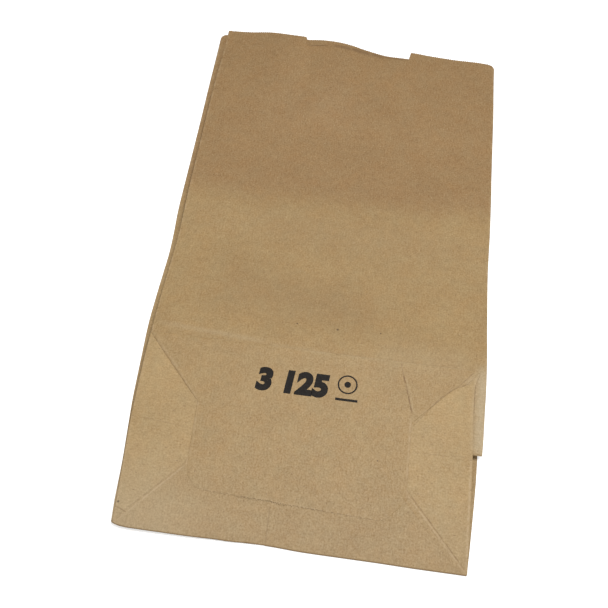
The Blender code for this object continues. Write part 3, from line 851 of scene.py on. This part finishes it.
# %% [markdown]
# ### Marks of this one bag
# The bag was pressed with a hot machine and then lay about. The pressed lines are measured places
# on its plan: creases left in the side flaps by the gussets, a wrinkle beside the upper flap's
# shoulder, and crumples at the lower left corner. Dark ones are painted shade in valleys, creases
# and under ply edges, and pale ones are painted highlights on ridges and fold edges, where the
# paper is also rubbed. Broad bands of painted highlight and shade, a painted sheen at the lower
# left corner and at the bottom end, and painted shade towards the mouth stand in for how the
# light falls on the bag. The five large splinters sit where they do on the real bag.

# %% Marks


def on_bag(level, x, y, rise=0.0):
    """Place in the frame, in metres, of a plan place on one ply."""
    place = settled(level, np.array([float(x), float(y)]), rise)
    return tuple(float(v) for v in moved(place))


SHADOW_WIDTH, CRUMPLE_WIDTH, HIGHLIGHT_WIDTH, LEFT_WIDTH, CUT_WIDTH = 0.55, 0.35, 0.8, 1.3, 0.75
LOW, HIGH = PAPER / 2, LOWER_FLAP_RISE + PAPER / 2    # faces of the base ply and of a flap on it
# Lines: (ply, from x, y, to x, y, rise, strength, and for some a width)
# The dark lines are painted shadow in creases, valleys and under ply edges
SHADOW_LINES = [(BASE, 4.0, 49.6, 30.0, 46.8, LOW, 0.30), (BASE, 128.0, 49.4, 151.0, 50.6, LOW, 0.30),
              (BASE, 117.3, 91.5, 119.4, 84.0, HIGH, 0.60), (BASE, 118.9, 86.0, 122.0, 76.5, HIGH, 1.3, 0.5),
              (BASE, 121.5, 78.5, 124.4, 67.5, HIGH, 1.3, 0.5), (BASE, 149.7, 90.9, 145.9, 84.4, HIGH, 0.8, 0.45),
              (BASE, 152.0, 86.6, 146.2, 83.2, HIGH, 0.7, 0.45), (BASE, 146.4, 84.7, 136.0, 75.6, HIGH, 0.8, 0.5),
              (BASE, 137.0, 76.5, 124.7, 60.9, HIGH, 0.9, 0.5),
              (BASE, 0.2, 1.2, 27.6, 32.1, LOW, 0.50), (BASE, 152.2, 1.2, 123.3, 33.3, LOW, 0.80, 0.45),
              (BASE, 27.6, 60.8, 0.6, 91.3, LOW, 0.60),
              (BASE, 65.7, 0.8, 65.7, 17.6, HIGH, 0.45), (FRONT, 147.5, 87.0, 147.4, 53.5, LOW, 0.7),
              (REAR, 46.3, 277.0, 46.3, 281.5, LOW, 1.0)]
# Shadowed rear panel just inside the mouth, from wall to wall of the notch: (x, y, x, y, width)
INSIDE = ((46.0, 277.0, 60.0, 277.3, 0.7), (63.0, 278.0, 73.0, 278.5, 2.0), (72.0, 278.6, 84.0, 279.3, 2.2),
          (83.5, 279.5, 92.0, 280.0, 1.6), (91.0, 280.1, 103.5, 280.5, 1.0))
# Shadow beside the front panel's left edge, down from the mouth: (x, y)
LEFT_INSIDE = ((2.9, 283.0), (2.3, 243.0), (2.2, 122.0))
# Pale lines: painted highlights on fold edges and ridges, where the paper is also rubbed
HIGHLIGHT_LINES = [(BASE, 120.2, 85.0, 123.2, 76.5, HIGH, 0.7), (BASE, 123.0, 77.5, 125.1, 68.0, HIGH, 0.6),
              (BASE, 28.4, 60.5, 28.4, 33.0, HIGH, 0.6), (BASE, 124.1, 66.5, 123.9, 33.0, HIGH, 1.0, 0.9),
              (BASE, 28.3, 31.6, 1.0, 0.9, HIGH, 1.1, 0.8), (BASE, 122.6, 32.4, 151.4, 1.0, HIGH, 1.2, 0.7),
              (BASE, 2.0, 91.2, 27.9, 61.2, HIGH, 0.5), (BASE, 151.8, 3.0, 151.8, 51.0, LOW, 1.3)]
# Crumples at the lower left corner and by the dog-ear: painted shade in their valleys
CRUMPLE_SHADOWS = [(BASE, 0.4, 7.2, 5.2, 5.9, LOW, 0.9), (BASE, 0.5, 4.6, 5.8, 5.1, LOW, 0.7),
             (BASE, 1.2, 1.9, 6.3, 6.6, LOW, 0.6), (BASE, 142.9, 84.5, 139.6, 77.5, HIGH, 0.5)]
# Broad painted highlights along the ridge and on the strip at the right, where the paper is also rubbed, and broad
# painted shade on the front panel: (ply, from x, y, to x, y, rise, strength, width)
HIGHLIGHT_BANDS = [(FRONT, 2.0, 97.6, 54.0, 94.2, LOW, 0.7, 2.4), (BASE, 54.0, 93.0, 86.0, 92.0, HIGH, 0.9, 2.2),
              (BASE, 86.0, 92.0, 151.0, 92.4, HIGH, 0.85, 2.1), (BASE, 147.4, 84.8, 151.2, 89.6, HIGH, 0.7, 2.6),
              (FRONT, 150.6, 96.0, 151.4, 51.0, LOW, 2.1, 6.0),
              (FRONT, 100.0, 96.5, 146.0, 95.5, LOW, 0.40, 14.0)]
SHADE_BANDS = [(FRONT, 24.0, 127.0, 108.0, 113.0, LOW, 0.16, 27.0),
              (FRONT, 30.0, 172.0, 130.0, 168.0, LOW, 0.08, 50.0)]
SHEEN_CORNER, SHEEN_REACH = (4.0, -2.0), 52.0      # a painted sheen makes the bag's lower left corner paler
# Dots of shadow along the upper flap's cut: (x, y, strength up to the next)
CUT_LINE = ((36.0, 19.9, 0.3), (52.0, 19.4, 1.0), (72.0, 18.6, 0.8), (108.0, 17.3, 0.4), (116.0, 18.6, 0.4))
# Large splinters: (ply, x, y, rise, size), with a core in millimetres and a reach in sizes
FLECKS = [(FRONT, 83.4, 105.6, LOW, 1.35), (FRONT, 64.7, 106.2, LOW, 0.9), (FRONT, 103.2, 106.4, LOW, 0.9),
          (BASE, 0.9, 9.5, LOW, 1.3), (BASE, 110.5, 43.5, HIGH, 0.8)]
FLECK_CORE, FLECK_REACH = 0.15, 0.62
MOUTH_SHADE_FROM, MOUTH_SHADE_TO = 0.028, 0.046      # metres along the bag: where painted shade makes the mouth end darker and browner
SHEEN_FROM, SHEEN_TO = -0.138, -0.096      # and where a painted cool sheen makes the bottom end paler and cooler

kraft, tree, shader = new_material("kraft_paper")
sheet_place = add_node(tree, "ShaderNodeAttribute", attribute_name="unrolled").outputs["Vector"]
object_place = tree.nodes.new("ShaderNodeTexCoord").outputs["Object"]


def use_group(group, **values):
    """A group node in the kraft material; names are its inputs."""
    return add_node(tree, "ShaderNodeGroup", node_tree=group, **values)


def attribute(name):
    """Number that the sheet keeps under this name at each point."""
    return add_node(tree, "ShaderNodeAttribute", attribute_name=name).outputs["Fac"]


def distance_to(place):
    """Distance in metres from a place in the frame."""
    return vector_step(tree, "LENGTH", vector_step(tree, "SUBTRACT", object_place, place))


def line_masks(lines, width=None):
    """Strongest of the pressed lines, each with its own strength; the last number may be a width."""
    total = None
    for level, x0, y0, x1, y1, rise, strength, *own in lines:
        made = use_group(line, Place=object_place, From=on_bag(level, x0, y0, rise),
                         To=on_bag(level, x1, y1, rise), Width=(own[0] if own else width) * MM)
        mask = arithmetic(tree, "MULTIPLY", made.outputs["Mask"], strength)
        total = mask if total is None else arithmetic(tree, "MAXIMUM", total, mask)
    return total


def tinted(colour, *tints):
    """Lays tints over a colour, one after another: each a mask, its strength and a colour."""
    for mask, strength, over in tints:
        if strength != 1.0:
            mask = arithmetic(tree, "MULTIPLY", mask, strength)
        colour = mix(tree, mask, colour, over)
    return colour


# %% Colour of the kraft
WHITE = (1.0, 1.0, 1.0)
KRAFT = (0.381, 0.251, 0.110)
KRAFT_PALE = (0.545, 0.400, 0.235)
# Paler kraft for broad painted highlights and the painted sheen, and for rubbed paper
KRAFT_WORN_LIT = (0.474, 0.364, 0.216)
KRAFT_DARK = (0.175, 0.095, 0.040)
SPLINTER = (0.06, 0.035, 0.02)
GRAIN_COLOUR = (0.29, 0.235, 0.15)   # what one unit of grain adds, nearly grey
REDDER, BLUER = (1.015, 0.985, 0.95), (0.985, 1.015, 1.05)    # the two ends of the pulp's warmth
# What the kraft is multiplied by: painted shade at the mouth end, the sheet's inner face, which
# shows on the side triangles, and a painted cool sheen at the bottom fold
MOUTH_SHADE = (0.884, 0.825, 0.818)
INNER_FACE = (1.10, 1.125, 1.15)
BOTTOM_SHEEN = (1.0, 1.025, 1.10)
pulp_node = use_group(pulp, Sheet=sheet_place)
dark_splinters = use_group(splinters, Sheet=sheet_place, Spacing=4.2, Size=0.38, Share=0.26).outputs["Mask"]
pale_splinters = use_group(splinters, Sheet=vector_step(tree, "ADD", sheet_place, (0.5, 0.5, 0.0)),
                           Spacing=3.1, Size=0.34, Share=0.22).outputs["Mask"]
big_flecks = None
for level, x, y, rise, size in FLECKS:
    fleck = smooth_fall(tree, distance_to(on_bag(level, x, y, rise)), FLECK_CORE * MM,
                        size * FLECK_REACH * MM)
    big_flecks = fleck if big_flecks is None else arithmetic(tree, "MAXIMUM", big_flecks, fleck)
# Painted sheen, paler towards the lower left corner
painted_sheen = smooth_fall(tree, distance_to(on_bag(BASE, *SHEEN_CORNER)), 0.0, SHEEN_REACH * MM)
breaks = smooth_range(tree, noise(tree, sheet_place, 420.0, 2.0), -0.25, 0.10)
# Painted shadow lines and painted highlight lines, broken up by noise, and broad painted highlight bands
painted_shadow_lines = arithmetic(tree, "MAXIMUM", line_masks(SHADOW_LINES, SHADOW_WIDTH),
                        line_masks(CRUMPLE_SHADOWS, CRUMPLE_WIDTH))
painted_shadow_lines = arithmetic(tree, "MULTIPLY", painted_shadow_lines, breaks)
painted_highlight_lines = arithmetic(tree, "MULTIPLY", line_masks(HIGHLIGHT_LINES, HIGHLIGHT_WIDTH), breaks)
painted_highlight_bands = arithmetic(tree, "MULTIPLY", line_masks(HIGHLIGHT_BANDS), arithmetic(tree, "MULTIPLY_ADD", breaks, 0.3, 0.7))
inside_lines = line_masks([(REAR, *ends, LOW, 1.0, width) for *ends, width in INSIDE])
left_inside = line_masks([(REAR, *a, *b, LOW, 1.0, LEFT_WIDTH) for a, b in zip(LEFT_INSIDE, LEFT_INSIDE[1:])])
cut_pieces = [(BASE, *a[:2], *b[:2], HIGH, a[2]) for a, b in zip(CUT_LINE, CUT_LINE[1:])]
cut_dots = smooth_range(tree, noise(tree, sheet_place, 900.0, 2.0), 0.02, 0.16)
cut_dots = arithmetic(tree, "MULTIPLY", cut_dots, line_masks(cut_pieces, CUT_WIDTH))
# Wear number of the sheet: above 0 rubbed paper with a painted highlight, broken up by noise; below 0 painted shade
# on the bottom fold
worn_lit_edge = attribute("wear_and_painted_light")
worn = smooth_range(tree, noise(tree, sheet_place, 260.0, 2.0), -0.12, 0.16)
shaded_edge = arithmetic(tree, "MULTIPLY", worn_lit_edge, -1.0, clamp=True)
worn_lit_edge = arithmetic(tree, "MULTIPLY", worn_lit_edge, worn, clamp=True)

brightness = arithmetic(tree, "ADD", pulp_node.outputs["Shade"], 1.0)
warmth = arithmetic(tree, "MULTIPLY_ADD", pulp_node.outputs["Warmth"], 2.5, 0.5, clamp=True)
red_kraft, blue_kraft = (tuple(k * part for k, part in zip(KRAFT, parts)) for parts in (REDDER, BLUER))
paper_colour = vector_step(tree, "SCALE", mix(tree, warmth, red_kraft, blue_kraft), scale=brightness)
x_place, y_place, _ = add_node(tree, "ShaderNodeSeparateXYZ", Vector=object_place).outputs
# Painted shade towards the mouth, with a wavering edge, and a painted cool sheen towards the bottom fold
edge_waver = arithmetic(tree, "MULTIPLY_ADD", noise(tree, object_place, 22.0, 2.0), 0.016, y_place)
edge_waver = arithmetic(tree, "MULTIPLY_ADD", x_place, -0.03, edge_waver)
mouth_shade = smooth_range(tree, edge_waver, MOUTH_SHADE_FROM, MOUTH_SHADE_TO)
bottom_sheen = smooth_range(tree, y_place, SHEEN_FROM, SHEEN_TO)
for factor, low, high in ((mouth_shade, WHITE, MOUTH_SHADE), (attribute("inner_face"), WHITE, INNER_FACE),
                          (bottom_sheen, BOTTOM_SHEEN, WHITE)):
    paper_colour = vector_step(tree, "MULTIPLY", paper_colour, mix(tree, factor, low, high))
# Painted highlight bands and the painted sheen at the lower left corner
paper_colour = tinted(paper_colour, (painted_highlight_bands, 0.45, KRAFT_WORN_LIT), (painted_sheen, 0.45, KRAFT_WORN_LIT))
fine_grain = vector_step(tree, "SCALE", GRAIN_COLOUR, scale=pulp_node.outputs["Grain"])
paper_colour = vector_step(tree, "ADD", paper_colour, fine_grain)
# Pale splinters, rubbed edges with a painted highlight, and painted highlight lines
paper_colour = tinted(paper_colour, (pale_splinters, 0.45, KRAFT_PALE), (worn_lit_edge, 0.40, KRAFT_PALE),
                      (painted_highlight_lines, 0.45, KRAFT_PALE))
# Painted shade bands, dark splinters, painted shade on the bottom fold, painted shadow lines, painted shadow inside
# the mouth and beside the left edge, shadow dots at the cut, and the large splinters
paper_colour = tinted(paper_colour, (line_masks(SHADE_BANDS), 1.0, KRAFT_DARK),
                      (dark_splinters, 0.50, KRAFT_DARK), (shaded_edge, 0.40, KRAFT_DARK),
                      (painted_shadow_lines, 0.6, KRAFT_DARK), (inside_lines, 0.55, KRAFT_DARK),
                      (left_inside, 0.22, KRAFT_DARK), (cut_dots, 0.7, KRAFT_DARK),
                      (big_flecks, 0.75, SPLINTER))
feed(tree, shader.inputs["Base Color"], paper_colour)
feed(tree, shader.inputs["Roughness"], arithmetic(tree, "MULTIPLY_ADD", pulp_node.outputs["Grain"], -0.3, 0.58))
feed(tree, shader.inputs["Specular IOR Level"], 0.4)

height = arithmetic(tree, "MULTIPLY", pulp_node.outputs["Height"], 0.010)
height = arithmetic(tree, "MULTIPLY_ADD", painted_shadow_lines, -0.06, height)
height = arithmetic(tree, "MULTIPLY_ADD", painted_highlight_lines, 0.05, height)
bump = add_node(tree, "ShaderNodeBump", Strength=0.9, Distance=MM, Height=height)
feed(tree, shader.inputs["Normal"], bump.outputs["Normal"])
bag.data.materials.append(kraft)
print("kraft paper:", len(tree.nodes), "nodes")

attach(bag, "root")
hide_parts("paper_bag")

# %% [markdown]
# ## The print on the upper flap
# A lunch bag is stamped on its bottom with its size, in black, before the tube is cut. This lesson
# stamps plain digits, a ring with a dot, and a bar: nothing that names anyone. Ink is a skin on
# the paper, so each shape is a thin closed plate. It is cut into small cells first, and then every
# point is sent through `settled`, the same function that bent the flap.

# %% Flat shapes of the print
DIGITS, DIGITS_PLACE, DIGITS_WIDTH, DIGITS_HEIGHT = "3 125", (52.3, 69.3), 33.5, 11.8
RING_MIDDLE, RING_RADII, DOT_RADIUS = (94.2, 77.4), (3.9, 4.6), 1.5
BAR_LOW, BAR_HIGH = (89.2, 69.3), (99.4, 70.5)
HEAVIER, SLANT = 0.062, 0.10     # of the digits, in font units
RING_SIDES = 48
INK_CELL, INK_SINK, INK_RISE = 1.5, 0.01, 0.02


def flat_digits():
    """Heavy slanted digits as a flat mesh, stretched to the print's width and height."""
    letters = bpy.data.curves.new("digits", "FONT")
    letters.body = DIGITS
    letters.offset = HEAVIER
    letters.shear = SLANT
    letters.resolution_u = 6
    holder = placed("digits", letters)
    shape = bmesh.new()
    made = bpy.data.meshes.new_from_object(holder.evaluated_get(bpy.context.evaluated_depsgraph_get()))
    shape.from_mesh(made)
    bpy.data.objects.remove(holder)
    bpy.data.meshes.remove(made)
    bmesh.ops.remove_doubles(shape, verts=shape.verts, dist=1e-4)
    co = np.array([v.co[:2] for v in shape.verts])
    co = (co - co.min(0)) / (co.max(0) - co.min(0)) * (DIGITS_WIDTH, DIGITS_HEIGHT) + DIGITS_PLACE
    for vertex, (x, y) in zip(shape.verts, co):
        vertex.co = (x, y, 0.0)
    return shape


def flat_mark():
    """Ring, dot and bar as a flat mesh."""
    shape = bmesh.new()
    angles = 2 * np.pi * np.arange(RING_SIDES) / RING_SIDES
    rim = [[shape.verts.new((RING_MIDDLE[0] + r * np.cos(a), RING_MIDDLE[1] + r * np.sin(a), 0.0)) for a in angles]
           for r in (*RING_RADII, DOT_RADIUS)]
    for i in range(RING_SIDES):
        after = (i + 1) % RING_SIDES
        shape.faces.new((rim[0][i], rim[1][i], rim[1][after], rim[0][after]))
    shape.faces.new(rim[2])
    (x0, y0), (x1, y1) = BAR_LOW, BAR_HIGH
    shape.faces.new([shape.verts.new((x, y, 0.0)) for x, y in ((x0, y0), (x1, y0), (x1, y1), (x0, y1))])
    return shape


# %% Ink laid on the flap


def inked(name, shape):
    """Thin closed plate over the upper flap: the flat shape in small cells, top, underside and rim."""
    for axis in (0, 1):
        reach = [v.co[axis] for v in shape.verts]
        for cut in np.arange(min(reach) + INK_CELL, max(reach), INK_CELL):
            place = [cut if k == axis else 0.0 for k in range(3)]
            normal = [float(k == axis) for k in range(3)]
            bmesh.ops.bisect_plane(shape, geom=shape.verts[:] + shape.edges[:] + shape.faces[:],
                                   plane_co=place, plane_no=normal, dist=1e-6)
    bmesh.ops.recalc_face_normals(shape, faces=shape.faces)
    for face in shape.faces:
        if face.normal.z < 0:
            face.normal_flip()
    shape.verts.index_update()
    plan = np.array([v.co[:2] for v in shape.verts])
    loops = [[v.index for v in face.verts] for face in shape.faces]
    rims = [(loop.vert.index, loop.link_loop_next.vert.index)
            for face in shape.faces for loop in face.loops if len(loop.edge.link_faces) == 1]
    shape.free()
    rise = flap_rise(plan) + PAPER / 2
    top, under = settled(BASE, plan, rise + INK_RISE), settled(BASE, plan, rise - INK_SINK)
    n = len(plan)
    walls = [(b, a, a + n, b + n) for a, b in rims]
    mesh = bpy.data.meshes.new(name)
    mesh.from_pydata(moved(np.concatenate([top, under])), [],
                     loops + [[i + n for i in loop[::-1]] for loop in loops] + walls)
    piece = placed(name, mesh)
    print(name, len(mesh.polygons), "faces")
    return piece


# %% Ink colour
INK_BLACK, INK_WORN = (0.010, 0.007, 0.005), (0.060, 0.044, 0.030)
ink, tree, shader = new_material("ink")
ink_place = tree.nodes.new("ShaderNodeTexCoord").outputs["Object"]
uneven = noise(tree, ink_place, 900.0, 3.0, 0.7)
thin_ink = smooth_range(tree, uneven, 0.10, 0.26)
feed(tree, shader.inputs["Base Color"], mix(tree, thin_ink, INK_BLACK, INK_WORN))
feed(tree, shader.inputs["Roughness"], arithmetic(tree, "MULTIPLY_ADD", uneven, 0.5, 0.62))
feed(tree, shader.inputs["Specular IOR Level"], 0.2)
ink_bump = add_node(tree, "ShaderNodeBump", Strength=0.5, Distance=MM,
                    Height=arithmetic(tree, "MULTIPLY", uneven, 0.01))
feed(tree, shader.inputs["Normal"], ink_bump.outputs["Normal"])
for name, shape in (("print_digits", flat_digits()), ("print_mark", flat_mark())):
    piece = inked(name, shape)
    piece.data.materials.append(ink)
    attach(piece, "root")
    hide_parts("paper_bag")

# %% [markdown]
# ## Floor and light
# The photograph was taken on white under one soft lamp above the bag, near its middle. The floor
# and the world show white to the camera, and light the bag only at the plain level of a pale room.

# %% Floor and light
FLOOR_LIFT = 0.55                # what the camera sees of the floor beyond its own light
FILL = 0.42                      # light of the room
KEY_PLACE, KEY_AIM = (0.05, -0.04, 0.60), (0.0, -0.03, 0.0)
KEY_SIZE, KEY_POWER = 0.22, 2.4
FLOOR_HALF = 3.0                 # metres
corners = [(x * FLOOR_HALF, y * FLOOR_HALF, 0) for x, y in ((-1, -1), (1, -1), (1, 1), (-1, 1))]
floor_mesh = bpy.data.meshes.new("floor")
floor_mesh.from_pydata(corners, [], [(0, 1, 2, 3)])
floor = placed("floor", floor_mesh)
pale, tree, shader = new_material("pale_floor")
seen = tree.nodes.new("ShaderNodeLightPath").outputs["Is Camera Ray"]
for name, value in (("Base Color", (0.9, 0.9, 0.9, 1.0)), ("Roughness", 0.9), ("Emission Color", (*WHITE, 1.0)),
                    ("Emission Strength", arithmetic(tree, "MULTIPLY", seen, FLOOR_LIFT))):
    feed(tree, shader.inputs[name], value)
floor_mesh.materials.append(pale)
floor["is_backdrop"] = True

world = bpy.data.worlds.new("studio")
world.use_nodes = True
tree, background = world.node_tree, world.node_tree.nodes["Background"]
seen = tree.nodes.new("ShaderNodeLightPath").outputs["Is Camera Ray"]
feed(tree, background.inputs["Color"], (*WHITE, 1.0))
feed(tree, background.inputs["Strength"], arithmetic(tree, "MULTIPLY_ADD", seen, 1.0 - FILL, FILL))
bpy.context.scene.world = world
key = bpy.data.lights.new("key", "AREA")
key.size = KEY_SIZE
key.energy = KEY_POWER
lamp = placed("key", key)
lamp.location = KEY_PLACE
lamp.rotation_euler = (Vector(KEY_AIM) - lamp.location).to_track_quat("-Z", "Y").to_euler()

bpy.context.scene.view_settings.view_transform = "Standard"

# %% Finish
low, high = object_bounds()
print("visual box in mm:", [round(1000 * v, 1) for v in (*low, *high)])
